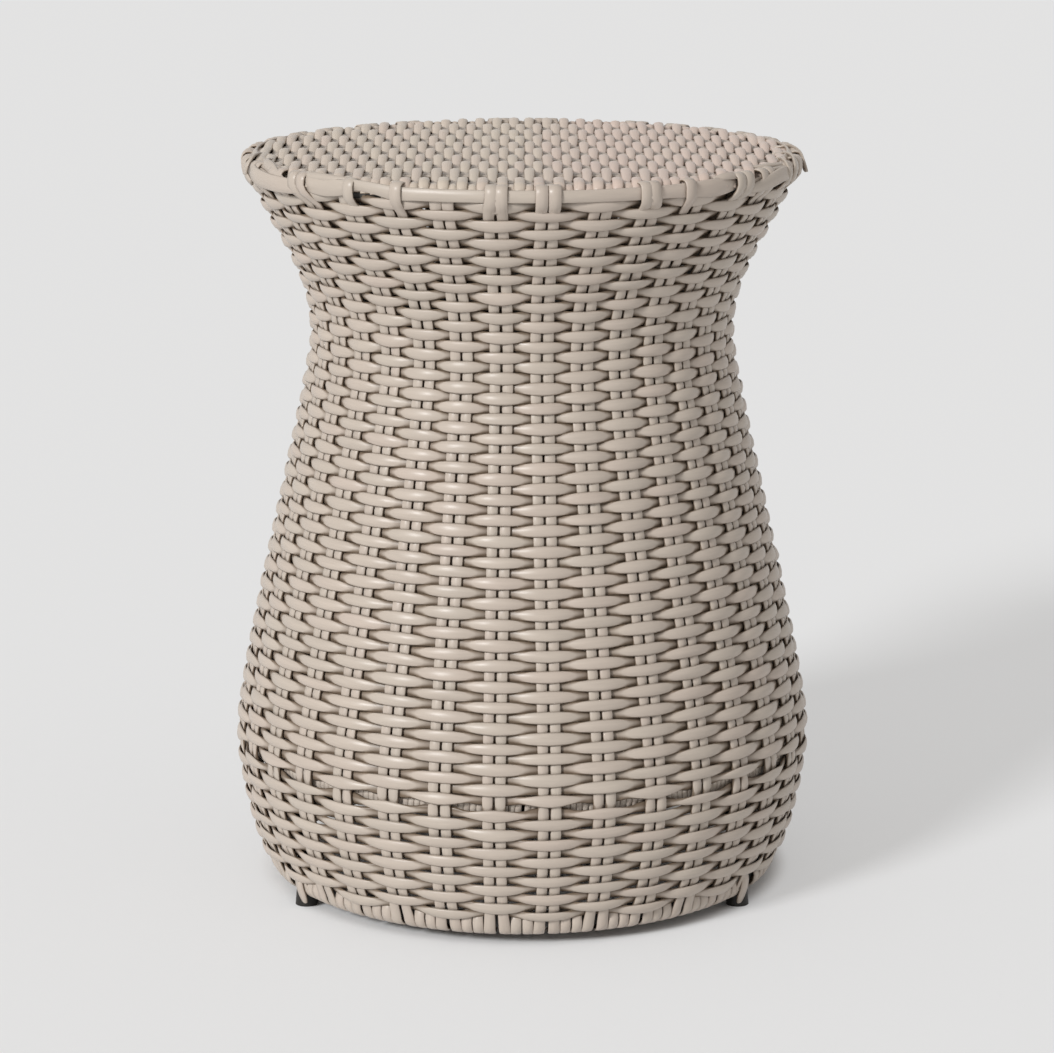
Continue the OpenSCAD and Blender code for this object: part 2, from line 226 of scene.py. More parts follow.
def resinGroup():
    # drawn resin strand: tone drifts along it, fine streaks run along it, and painted shade darkens its
    # flanks, its back and where it lies deep; reads the strand's own UV maps
    group, given = startGroup("drawnResin", ("Base", "Blush"), ("Drift", "Streak", "Shade Share", "Shade Side Warmth"))
    uv = group.nodes.new("ShaderNodeUVMap")
    uv.uv_map = "strand"
    crossing = group.nodes.new("ShaderNodeUVMap")
    crossing.uv_map = "crossing"
    place = group.nodes.new("ShaderNodeTexCoord").outputs["Object"]

    def split(vector, axis):
        return wire(group, "ShaderNodeSeparateXYZ", {"Vector": vector}).outputs[axis]

    def noise(along, around, detail):
        stretch = wire(group, "ShaderNodeMapping", {"Vector": uv.outputs[0]}, {"Scale": (along, around, 1)})
        return wire(group, "ShaderNodeTexNoise", {"Vector": stretch.outputs[0]},
                    {"Scale": 1, "Detail": detail, "Roughness": resin["noiseRoughness"]}).outputs["Fac"]

    def beyond(value, middle, gain):
        return maths(group, "MULTIPLY", maths(group, "SUBTRACT", value, middle), gain)

    streaks = noise(*resin["streaks"])
    tone = beyond(noise(*resin["drift"]), 0.5, given["Drift"])
    bright = maths(group, "ADD", maths(group, "ADD", tone, beyond(streaks, 0.5, given["Streak"])), 1)
    # painted tint: the side away from the light turns warmer, by place from left to right
    warm = maths(group, "MULTIPLY", ramp(group, split(place, "X"), *resin["shadeSideWarmFrom"]), given["Shade Side Warmth"])
    pink = maths(group, "MAXIMUM", beyond(noise(*resin["blush"]), resin["blushFrom"], resin["blushGain"]))
    pink = maths(group, "MINIMUM", maths(group, "ADD", pink, warm), 1)
    base = mixColours(group, pink, given["Base"], given["Blush"])
    grey = wire(group, "ShaderNodeCombineColor", {"Red": bright, "Green": bright, "Blue": bright})
    colour = mixColours(group, 1.0, base, grey.outputs[0], "MULTIPLY")
    # painted shade: the strand's flanks and back, and where it lies deep behind others, turn to the shade
    # tone
    crown = maths(group, "SINE", maths(group, "MULTIPLY", split(uv.outputs[0], "Y"), 2 * math.pi))
    sunk = maths(group, "SUBTRACT", crown, split(crossing.outputs[0], "X"))
    shade = maths(group, "MULTIPLY", ramp(group, sunk, *resin["shade"]), given["Shade Share"])
    dark = mixColours(group, 1.0, colour, finish["paintedShadeTone"], "MULTIPLY")
    rough = maths(group, "ADD", maths(group, "MULTIPLY", streaks, resin["streaksRough"]), resin["rough"])
    fine = maths(group, "MULTIPLY", noise(*resin["grain"]), resin["grainHeight"])
    wire(group, "NodeGroupOutput", {"Colour": mixColours(group, shade, colour, dark), "Roughness": rough,
                                    "Height": maths(group, "ADD", streaks, fine)})
    return group


pebble = {
    "cloud": 22,               # scale of the worn patches
    "cloudDetail": 3,
    "grainDetail": 2,
    "wornGain": 2.2,
    "rough": 0.34,
    "cloudRough": 0.25,
    "coatGrain": 1400,
    "coatBump": 0.25,
    "coatSpecular": 0.5,
    "footGrain": 2600,
    "footBump": 0.2,
    "footSpecular": 0.4,
}


def pebbleGroup():
    # fine pebbled surface of powder coat or moulded plastic, on Object coordinates
    group, given = startGroup("pebble", ("Base", "Worn"), ("Size",))
    place = group.nodes.new("ShaderNodeTexCoord").outputs["Object"]
    grain = wire(group, "ShaderNodeTexNoise", {"Vector": place, "Scale": given["Size"]},
                 {"Detail": pebble["grainDetail"]}).outputs["Fac"]
    cloud = wire(group, "ShaderNodeTexNoise", {"Vector": place},
                 {"Scale": pebble["cloud"], "Detail": pebble["cloudDetail"]}).outputs["Fac"]
    worn = maths(group, "MULTIPLY", maths(group, "SUBTRACT", cloud, 0.5), pebble["wornGain"])
    colour = mixColours(group, maths(group, "MAXIMUM", worn), given["Base"], given["Worn"])
    rough = maths(group, "ADD", maths(group, "MULTIPLY", cloud, pebble["cloudRough"]), pebble["rough"])
    wire(group, "NodeGroupOutput", {"Colour": colour, "Roughness": rough, "Height": grain})
    return group


finish = {
    "weft": (0.478, 0.417, 0.356, 1),
    "weftBlush": (0.500, 0.417, 0.358, 1),
    "stake": (0.474, 0.413, 0.352, 1),
    "stakeBlush": (0.496, 0.414, 0.356, 1),
    "band": (0.466, 0.406, 0.346, 1),
    # painted light: the top's strands are a lighter copy of the side's strand colour, so the top shows
    # lighter
    "top": (0.560, 0.484, 0.402, 1),
    "topBlush": (0.578, 0.466, 0.402, 1),
    "wrap": (0.494, 0.431, 0.369, 1),
    # painted light: the belly wraps, deep in the slit, are a much lighter copy of the wraps' colour, so they
    # show light in its shade
    "innerWrap": (0.680, 0.600, 0.520, 1),
    "paintedShadeTone": (0.30, 0.24, 0.18, 1),   # painted shade: what is left of the colour on a strand's flanks and back and where it lies deep in the weave
    "powder": (0.070, 0.068, 0.064, 1),
    "powderWorn": (0.095, 0.090, 0.084, 1),
    "rubber": (0.010, 0.008, 0.006, 1),
    "rubberWorn": (0.022, 0.019, 0.016, 1),
    "drift": 0.22,             # how much the tone drifts along a strand
    "streak": 0.22,
    "relief": 0.0003,          # depth of every bump
}


def coated(name, group, inputs, bump, specular):
    material = bpy.data.materials.new(name)
    material.use_nodes = True
    tree = material.node_tree
    shader = tree.nodes["Principled BSDF"]
    effect = tree.nodes.new("ShaderNodeGroup")
    effect.node_tree = group
    for key, value in inputs.items():
        effect.inputs[key].default_value = value
    relief = wire(tree, "ShaderNodeBump", {"Height": effect.outputs["Height"]},
                  {"Strength": bump, "Distance": finish["relief"]})
    tree.links.new(effect.outputs["Colour"], shader.inputs["Base Color"])
    tree.links.new(effect.outputs["Roughness"], shader.inputs["Roughness"])
    tree.links.new(relief.outputs["Normal"], shader.inputs["Normal"])
    shader.inputs["Specular IOR Level"].default_value = specular
    return material


def makeFinishes():
    strandEffect = resinGroup()
    pebbleEffect = pebbleGroup()

    def strandFinish(name, base, blush, shadeShare=resin["shadeShare"], shadeSideWarmth=0.0):
        inputs = {"Base": finish[base], "Blush": finish[blush], "Drift": finish["drift"],
                  "Streak": finish["streak"], "Shade Share": shadeShare, "Shade Side Warmth": shadeSideWarmth}
        return coated(name, strandEffect, inputs, resin["bump"], resin["specular"])

    def pebbleFinish(name, base, worn, use):
        inputs = {"Base": finish[base], "Worn": finish[worn], "Size": pebble[use + "Grain"]}
        return coated(name, pebbleEffect, inputs, pebble[use + "Bump"], pebble[use + "Specular"])

    print("finishes made")
    return {
        # each finish's share of the painted shade
        "weft": strandFinish("weftResin", "weft", "weftBlush"),
        "stake": strandFinish("stakeResin", "stake", "stakeBlush"),
        "band": strandFinish("bandResin", "band", "weftBlush", shadeShare=0.4),
        "top": strandFinish("topResin", "top", "topBlush", shadeShare=0.75, shadeSideWarmth=0.8),
        "wrap": strandFinish("wrapResin", "wrap", "weftBlush"),
        "innerWrap": strandFinish("innerWrapResin", "innerWrap", "weftBlush", shadeShare=0.45),
        "powder": pebbleFinish("powderCoat", "powder", "powderWorn", "coat"),
        "rubber": pebbleFinish("footPlastic", "rubber", "rubberWorn", "foot"),
    }


# strands

strand = {
    "sides": 8,
    "round": (0.90, 1.00, 0.62),       # section: fullness across and of the crown, 1 is round and less
    "flat": (0.42, 0.62, 0.85),        # is squarer, and the depth of the back against the crown
    "grainStart": 30,          # the grain of a strand starts anywhere within this length
}
blanks = {}


def tubeBlank(rings):
    # capped tube of unit radius along Z, with its points' ring and angle, kept for the next strand
    if rings in blanks:
        return blanks[rings]
    bm = bmesh.new()
    bmesh.ops.create_cone(bm, cap_ends=True, segments=strand["sides"], radius1=1, radius2=1, depth=rings - 1)
    rails = [e for e in bm.edges if abs(e.verts[0].co.z - e.verts[1].co.z) > 0.5]
    bmesh.ops.subdivide_edges(bm, edges=rails, cuts=rings - 2)
    mesh = bpy.data.meshes.new("blank")
    bm.to_mesh(mesh)
    bm.free()
    mesh.uv_layers.new(name="strand")
    mesh.uv_layers.new(name="crossing")
    points = np.empty(3 * len(mesh.vertices))
    mesh.vertices.foreach_get("co", points)
    points = points.reshape(-1, 3)
    ring = np.rint(points[:, 2] + (rings - 1) / 2).astype(int)
    angle = np.arctan2(points[:, 1], points[:, 0]) % (2 * math.pi)
    corner = np.empty(len(mesh.loops), int)
    mesh.loops.foreach_get("vertex_index", corner)
    around = angle[corner] / (2 * math.pi)
    for face in mesh.polygons:
        # the last face round the tube runs on to 1 and doesn't fall back to 0
        span = slice(face.loop_start, face.loop_start + face.loop_total)
        if face.loop_total == 4 and np.ptp(around[span]) > 0.5:
            around[span] = np.where(around[span] < 0.5, around[span] + 1, around[span])
    blanks[rings] = (mesh, ring, angle, corner, around)
    return blanks[rings]


def unit(vectors):
    return vectors / np.linalg.norm(vectors, axis=1)[:, None]


def layStrand(bm, centres, across, width, thick, section="round", tucked=0.0):
    # adds one strand along centres; across is the direction of its width at each point,
    # tucked is 1 where it lies deep behind others, and sets how much shade its finish paints there
    count = len(centres)
    mesh, ring, angle, corner, around = tubeBlank(count)
    along = unit(np.gradient(centres, axis=0))
    across = unit(across - along * np.sum(along * across, axis=1)[:, None])
    outward = np.cross(along, across)
    fullWide, fullTall, back = strand[section]
    c, s = np.cos(angle), np.sin(angle)
    wide = np.sign(c) * np.abs(c) ** fullWide
    tall = np.sign(s) * np.abs(s) ** fullTall
    tall = np.where(tall < 0, tall * back, tall)
    width = np.broadcast_to(width, count)
    thick = np.broadcast_to(thick, count)
    points = centres[ring] + across[ring] * (wide * width[ring] / 2)[:, None]
    points += outward[ring] * (tall * thick[ring] / 2)[:, None]
    mesh.vertices.foreach_set("co", points.ravel())
    steps = np.linalg.norm(np.diff(centres, axis=0), axis=1)
    length = np.concatenate([[0], np.cumsum(steps)]) + dice.uniform(0, strand["grainStart"])
    uv = np.stack([length[ring[corner]], around], axis=1)
    mesh.uv_layers["strand"].data.foreach_set("uv", uv.ravel())
    # how deep it lies goes to the crossing map, from which its finish paints shade
    hidden = np.broadcast_to(tucked, count)[ring[corner]]
    mesh.uv_layers["crossing"].data.foreach_set("uv", np.stack([hidden, hidden], axis=1).ravel())
    bm.from_mesh(mesh)


def finishPiece(bm, name, material, slotName, *nodes):
    mesh = bpy.data.meshes.new(name)
    bm.to_mesh(mesh)
    bm.free()
    mesh.polygons.foreach_set("use_smooth", [True] * len(mesh.polygons))
    mesh.materials.append(material)
    piece = bpy.data.objects.new(name, mesh)
    bpy.context.collection.objects.link(piece)
    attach(piece, "root")
    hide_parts(*nodes)
    triangles = sum(len(face.vertices) - 2 for face in mesh.polygons)
    print(name, "made:", triangles, "triangles")


def polar(radius, turn, z):
    # turn is counted from the front to the right
    return np.stack(np.broadcast_arrays(radius * np.sin(turn), -radius * np.cos(turn), z), axis=-1)


def soft(value, low, high):
    # eases from 0 at low to 1 at high
    share = np.clip((value - low) / (high - low), 0, 1)
    return share * share * (3 - 2 * share)


def smoothKnots(knots, steps):
    # the knots, joined by a smooth curve through all of them
    knots = np.array(knots)
    padded = np.concatenate([2 * knots[:1] - knots[1:2], knots, 2 * knots[-1:] - knots[-2:-1]])
    parts = []
    for a, b, c, d in zip(padded, padded[1:], padded[2:], padded[3:]):
        u = np.linspace(0, 1, steps, endpoint=False)[:, None]
        parts.append(b + 0.5 * u * (c - a + u * (2 * a - 5 * b + 4 * c - d + u * (3 * (b - c) + d - a))))
    return np.concatenate(parts + [knots[-1:]])


# outline of the side, as heights and radii

outline = {
    "base": (0.008, 0.1926),
    "basePull": (0.0262, 0.0202),      # how far the curve's handle reaches up and out from there
    "belly": (0.112, 0.2204),
    "bellyHold": (0.005, 0.0445),      # the handles below and above
    "waist": (0.421, 0.1597),
    "waistHold": (0.030, 0.052),
    "rim": (0.552, 0.2088),
    "rimPull": (0.060, 0.024),         # down and in
    "steps": 40,
    "feel": 0.002,             # the slope is taken over this height to each side
}


def bend(a, b, c, d):
    u = np.linspace(0, 1, outline["steps"])[:, None]
    a, b, c, d = (np.array(p) for p in (a, b, c, d))
    return (1 - u) ** 3 * a + 3 * (1 - u) ** 2 * u * b + 3 * (1 - u) * u ** 2 * c + u ** 3 * d


def drawOutline():
    base, belly, waist, rim = (outline[k] for k in ("base", "belly", "waist", "rim"))
    low = bend(base, (base[0] + outline["basePull"][0], base[1] + outline["basePull"][1]),
               (belly[0] - outline["bellyHold"][0], belly[1]), belly)
    mid = bend(belly, (belly[0] + outline["bellyHold"][1], belly[1]),
               (waist[0] - outline["waistHold"][0], waist[1]), waist)
    high = bend(waist, (waist[0] + outline["waistHold"][1], waist[1]),
                (rim[0] - outline["rimPull"][0], rim[1] - outline["rimPull"][1]), rim)
    return np.concatenate([low, mid[1:], high[1:]])


sideCurve = drawOutline()


def sideRadius(z):
    return np.interp(z, sideCurve[:, 0], sideCurve[:, 1])


def sideAt(z):
    # outer radius at height z, and the outward normal there as (radial, upward)
    feel = outline["feel"]
    slope = (sideRadius(z + feel) - sideRadius(z - feel)) / (2 * feel)
    size = np.sqrt(1 + slope ** 2)
    return sideRadius(z), 1 / size, -slope / size


# woven side

side = {
    "pairs": 34,
    "rowsUp": (0.1195, 0.5404, 60),    # lowest and highest row above the slit, and their count
    "rowsLow": (0.025, 0.1073, 12),    # and below it
    "pitchPoints": (0.120, 0.330, 0.370, 0.420, 0.450, 0.480, 0.520, 0.540),
    "pitches": (14.8, 14.8, 14.2, 14.3, 15.0, 15.5, 15.4, 15.0),      # of two rows, along the side
    "samples": 2000,
    "pieces": (("weftBase", 0), ("weftBelly", 12), ("weftWaist", 32), ("weftNeck", 51)),   # and first rows
    "swing": 0.0031,           # how far a strand swings out and in of the middle of the weave
    "swingCrown": 0.18,        # share by which it swings wider before it levels out
    "weftWide": 0.0093,        # where it lies flat on a pair of stakes
    "weftNarrow": 0.0083,      # between two pairs
    "slitNarrow": 0.0060,      # the same of the two rows beside the slit
    "flatBehind": (0.1, 0.75),         # share of the inward swing at which it begins to widen, and is wide
    "weftThick": 0.0031,
    "weftRound": 0.0036,       # its thickness between two pairs
    "tip": (0.55, -0.92),      # swing, as a share, at which the others begin to cover it, and do; painted shade there narrows the lit end to a point
    "steps": 9,                # points of a strand between one pair and the next
    "endGap": 0.02,            # from a strand's end to the middle between two pairs, in pairs
    "unevenSwing": 0.05,
    "unevenHeight": 0.0003,
    "unevenWidth": 0.05,
    "unevenTilt": 0.10,
}
pairTurn = 2 * math.pi / side["pairs"]
weaveDepth = side["swing"] + side["weftThick"] / 2      # from the outer face to the middle of the weave
rowsBelow = side["rowsLow"][2]


def rowHeights():
    low, high, count = side["rowsUp"]
    fine = np.linspace(low, high, side["samples"])
    stretch = np.hypot(np.gradient(fine), np.gradient(sideRadius(fine)))
    turns = np.cumsum(stretch / np.interp(fine, side["pitchPoints"], side["pitches"]))
    up = np.interp(np.linspace(turns[0], turns[-1], count), turns, fine)
    return np.concatenate([np.linspace(*side["rowsLow"]), up])


rows = rowHeights()


def isOver(row, pair):
    # the lowest row above the slit passes outside the first pair right of the front
    return (row - rowsBelow + pair) % 2 == 0


def layWeft(bm, row):
    pairs, steps = side["pairs"], side["steps"]
    behind = [k for k in range(pairs) if not isOver(row, k)]
    start = behind[dice.integers(len(behind))] + 0.5
    turn = (start + np.linspace(side["endGap"], pairs - side["endGap"], pairs * steps + 1)) * pairTurn
    place = turn / pairTurn - 0.5
    parity = 1 if isOver(row, 0) else -1
    wave = parity * np.cos(math.pi * place)

    def vary(amount):
        values = dice.normal(0, amount, pairs)
        return np.interp(place % pairs, np.arange(pairs + 1), np.append(values, values[0]))

    crown = 1 + side["swingCrown"] * (1 - wave ** 2)
    swing = wave * crown * side["swing"] * (1 + vary(side["unevenSwing"]))
    z = rows[row] + vary(side["unevenHeight"])
    radius, outR, outZ = sideAt(z)
    offset = swing - weaveDepth
    centres = polar(radius + offset * outR, turn, z + offset * outZ)
    outward = polar(outR, turn, outZ)
    upward = polar(-outZ, turn, outR)
    flat = np.where(wave > 0, wave ** 2, soft(-wave, *side["flatBehind"]))
    narrow = side["slitNarrow"] if row in (rowsBelow - 1, rowsBelow) else side["weftNarrow"]
    width = (narrow + (side["weftWide"] - narrow) * flat) * (1 + vary(side["unevenWidth"]))
    thick = side["weftRound"] + (side["weftThick"] - side["weftRound"]) * wave ** 2
    tilt = vary(side["unevenTilt"])[:, None]
    # painted shade: the share by which others cover the float's end sets how deep it lies for its finish
    covered = np.clip((side["tip"][0] - wave) / (side["tip"][0] - side["tip"][1]), 0, 1)
    layStrand(bm, centres, upward * np.cos(tilt) + outward * np.sin(tilt), width, thick,
              tucked=np.sqrt(2 * covered - covered ** 2))


def weaveSide(finishes):
    ends = [first for name, first in side["pieces"][1:]] + [len(rows)]
    for (name, first), last in zip(side["pieces"], ends):
        bm = bmesh.new()
        for row in range(first, last):
            layWeft(bm, row)
        finishPiece(bm, name, finishes["weft"], "weave_strand",
                    "side_weave_lower" if last <= rowsBelow else "side_weave_upper")


# stakes of the side

# points below are (height, ...) or (height, share) from the floor up
stakes = {
    "width": 0.0080,
    "widths": ((0.012, 1.12), (0.03, 1), (0.53, 1), (0.545, 1.15)),
    "thick": 0.0027,
    "pitch": 0.0092,           # between the middles of the two stakes of a pair
    "bulge": 0.0009,           # how far a stake swells out over a row that passes behind it
    "tuck": 0.0005,            # and how far it gives way to one that passes in front
    "baseRadius": 0.1859,      # of the middle of the base ring
    "hug": 0.0095,             # from there to the middle of a stake round it
    "hugFrom": (-165, -4, 16),         # degrees round the base ring, below the horizontal, and their step
    "rise": (0.024, 0.535),    # where a stake follows the side
    "overRim": ((0.5405, 0.2036), (0.5440, 0.2066), (0.5480, 0.2074), (0.5520, 0.2074), (0.5547, 0.2066),
                (0.5562, 0.2048), (0.5566, 0.2020), (0.5556, 0.1990), (0.5530, 0.1972)),
    "behindBand": ((0.5400, 0.2005), (0.5450, 0.2018), (0.5500, 0.2020)),
    "under": (2, 3, 7, 30, 31, 36, 37, 60, 62, 64, 65),    # stakes that end behind the band
    "lean": 0.0005,            # how unevenly the stakes lean at the rim
    "leans": {6: -0.002, 8: 0.003, 9: 0.003, 58: -0.003, 59: -0.003},    # further lean of single stakes
    "leanFrom": (0.40, 0.53),
    # and only where they pass over the band
    "rimLeans": {4: -0.0012, 5: -0.0042, 6: -0.002, 8: 0.005, 9: 0.005, 58: -0.0076, 59: -0.0076, 66: 0.0028},
    "rimLeanFrom": (0.536, 0.548),
    "spread": 0.0010,          # how far each stake of a pair moves away from the other at the base
    "spreadFrom": (0.012, 0.034),
    "legs": (-60, 60, 180),
    "legNear": 0.02,           # a stake this near to a leg makes way for it
    "legWay": 0.0135,          # and lies so far from its middle
    "legWays": ((0.010, 1), (0.028, 0.8), (0.045, 0)),
    "covered": 0.9,            # how deep a stake lies at a row that passes in front of it, which sets its painted shade
    "shadeBetweenRows": 0.75,             # and between two rows
    "free": 0.1,               # and below and above the weave
}
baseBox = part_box("base_ring")
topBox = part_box("top_ring")
tubeRadius = (topBox[1][2] - topBox[0][2]) / 2
baseRing = (stakes["baseRadius"], (baseBox[1][2] + baseBox[0][2]) / 2)    # radius and height of its middle


def byHeight(z, marks):
    # a value for each height, between the marks' own values
    heights, values = zip(*marks)
    return np.interp(z, heights, values)


def betweenRows():
    return (rows[1:] + rows[:-1]) / 2


def stakePath(pair, over):
    # heights and radii of a stake from under the base ring to the rim
    sweep = np.radians(np.arange(*stakes["hugFrom"]))
    low = np.stack([baseRing[1] + stakes["hug"] * np.sin(sweep), baseRing[0] + stakes["hug"] * np.cos(sweep)],
                   axis=1)
    marks = np.sort(np.concatenate([rows, betweenRows()]))
    marks = marks[(marks > stakes["rise"][0]) & (marks < stakes["rise"][1])]
    swell = np.array([-stakes["tuck"] if isOver(k, pair) else stakes["bulge"] for k in range(len(rows))])
    radius, outR, outZ = sideAt(marks)
    offset = np.interp(marks, rows, swell) - weaveDepth
    rise = np.stack([marks + offset * outZ, radius + offset * outR], axis=1)
    return np.concatenate([low, rise, np.array(stakes["overRim"] if over else stakes["behindBand"])])


def fromLeg(turn):
    # degrees from the nearest leg
    gaps = [(math.degrees(turn) - leg + 180) % 360 - 180 for leg in stakes["legs"]]
    return min(gaps, key=abs)


def layStake(bm, number):
    pair = number // 2
    turn = (pair + 0.5) * pairTurn
    hand = number % 2 * 2 - 1
    path = stakePath(pair, number not in stakes["under"])
    z = path[:, 0]
    lean = stakes["leans"].get(number, 0) + dice.normal(0, stakes["lean"])
    aside = hand * stakes["pitch"] / 2 + np.interp(z, stakes["leanFrom"], (0, lean))
    aside = aside + np.interp(z, stakes["rimLeanFrom"], (0, stakes["rimLeans"].get(number, 0)))
    aside = aside + hand * stakes["spread"] * np.interp(z, stakes["spreadFrom"], (1, 0))
    gap = math.radians(fromLeg(turn)) * baseRing[0]
    if abs(gap) < stakes["legNear"]:
        middle = gap + hand * stakes["pitch"] / 2
        way = np.sign(middle) * max(0, stakes["legWay"] - abs(middle))
        aside = aside + way * byHeight(z, stakes["legWays"])
    ahead = np.array([math.sin(turn), -math.cos(turn), 0])
    beside = np.array([math.cos(turn), math.sin(turn), 0])
    centres = path[:, 1:] * ahead + aside[:, None] * beside
    centres[:, 2] = z
    # painted shade along the stake, from how deep it lies at each row and between rows
    marks = np.concatenate([rows, betweenRows()])
    deep = np.concatenate([[stakes["covered"] * isOver(k, pair) for k in range(len(rows))],
                           np.full(len(rows) - 1, stakes["shadeBetweenRows"])])
    order = np.argsort(marks)
    tucked = np.interp(z, marks[order], deep[order], left=stakes["free"], right=stakes["free"])
    width = stakes["width"] * byHeight(z, stakes["widths"])
    layStrand(bm, centres, np.tile(-beside, (len(z), 1)), width, stakes["thick"], "flat", tucked)


def setStakes(finishes):
    for name, wanted in (("stakesOverRim", False), ("stakesBehindBand", True)):
        bm = bmesh.new()
        for number in range(2 * side["pairs"]):
            if (number in stakes["under"]) == wanted:
                layStake(bm, number)
        finishPiece(bm, name, finishes["stake"], "stake_strand",
                    "side_stakes_under" if wanted else "side_stakes_over")


# woven top

top = {
    "stakeZ": 0.5540,
    "pairs": (-0.177, -0.1266, -0.0874, -0.0482, -0.009, 0.0302, 0.0694, 0.1086, 0.1478),
    "pairPitch": 0.0392,       # goes on beyond the last pairs
    "stakeWide": 0.0070,
    "stakeGap": 0.0010,
    "stakeThick": 0.0025,
    "stakeReach": 0.1875,
    "stakeSteps": 40,
    "column": 0.0068,          # between columns of weavers
    "seam": (-0.004, 0.0050),  # place and pitch of the seam where two columns crowd
    "wide": 0.0080,
    "narrow": 0.0067,
    "thick": 0.0036,
    "swing": 0.0036,
    "steps": 9,                # points of a weaver from one pair to the next
    "fewest": 8,
    "crowd": 0.12,             # how much closer they lie at its ends
    "reach": 0.2034,           # where the weavers end behind the band
    "reachLeft": 0.004,        # and a column nearer to that than this is left out
    "edge": 0.1935,            # where they turn down over the top ring
    "edgeEase": 0.008,
    "edgeRound": 0.0085,
    "edgeLift": (0.62, 0.36),  # of the swing: how high all lie there, and the outer ones more, others less
    "liftAt": 0.186,
    "driftPoints": 6,
    "driftReach": 0.21,
    "unevenPlace": 0.00035,
    "unevenSwing": 0.05,
    "unevenWidth": 0.03,
    # how much painted shade a weaver takes where it lies deep
    "deep": 0.8,
    "deepFrom": (0.1, -0.8),   # share of the swing at which a weaver begins to lie deep, and does
}


def topWave(y, parity):
    # 1 where a weaver passes over a pair of stakes, and -1 where it passes under
    pairs = np.array(top["pairs"])
    marks = np.concatenate([[pairs[0] - top["pairPitch"]], pairs, [pairs[-1] + top["pairPitch"]]])
    return parity * np.cos(math.pi * np.interp(y, marks, np.arange(-1, len(pairs) + 1)))


def layColumn(bm, x, parity):
    # one weaver of the top from front to back
    reach = math.sqrt(top["reach"] ** 2 - x ** 2)
    count = max(top["fewest"], int(2 * reach / top["pairPitch"] * top["steps"]))
    ease = np.linspace(-1, 1, count)
    y = reach * ((1 + top["crowd"]) * ease - top["crowd"] * ease ** 3)
    wave = topWave(y, parity)
    swing = top["swing"] * (1 + dice.normal(0, top["unevenSwing"]))
    away = np.hypot(x, y)
    share = soft(away, top["edge"] - top["edgeEase"], top["edge"])
    beyond = np.clip((away - top["edge"]) / (top["reach"] - top["edge"]), 0, 1)
    last = topWave(np.sign(y) * math.sqrt(max(top["liftAt"] ** 2 - x ** 2, 0)), parity)
    high = top["swing"] * (top["edgeLift"][0] + top["edgeLift"][1] * last)
    drop = top["edgeRound"] * (1 - np.sqrt(1 - beyond ** 2))
    z = top["stakeZ"] + wave * swing * (1 - share) + high * share - drop
    points = top["driftPoints"]
    drift = np.interp(y, np.linspace(-top["driftReach"], top["driftReach"], points),
                      dice.normal(0, top["unevenPlace"], points))
    centres = np.stack([x + drift, y, z], axis=1)
    bead = np.clip(wave, 0, 1) * (1 - share) + share
    width = top["narrow"] + (top["wide"] - top["narrow"]) * np.sqrt(bead)
    width = width * (1 + dice.normal(0, top["unevenWidth"]))
    # painted shade where the weaver dips under the stakes, none over the edge
    tucked = top["deep"] * soft(wave, *top["deepFrom"]) * (1 - share)
    layStrand(bm, centres, np.tile((-1.0, 0, 0), (count, 1)), width, top["thick"], tucked=tucked)


def weaveTop(finishes):
    bm = bmesh.new()
    seam, gap = top["seam"]
    for hand in (-1, 1):
        for k in range(int(top["reach"] / top["column"]) + 1):
            x = seam + hand * (gap / 2 + k * top["column"])
            if abs(x) < top["reach"] - top["reachLeft"]:
                number = k if hand > 0 else -1 - k
                layColumn(bm, x, 1 if number % 2 == 0 else -1)
    finishPiece(bm, "topWeavers", finishes["top"], "weave_strand", "top_weave", "top_underweave")
    bm = bmesh.new()
    count = top["stakeSteps"]
    for middle in top["pairs"]:
        for hand in (-1, 1):
            y = middle + hand * (top["stakeWide"] + top["stakeGap"]) / 2
            reach = math.sqrt(top["stakeReach"] ** 2 - y ** 2)
            centres = np.stack([np.linspace(-reach, reach, count), np.full(count, y),
                                np.full(count, top["stakeZ"])], axis=1)
            layStrand(bm, centres, np.tile((0, 1.0, 0), (count, 1)), top["stakeWide"], top["stakeThick"],
                      "flat")
    finishPiece(bm, "topStakes", finishes["stake"], "stake_strand", "top_stakes")


# rim band

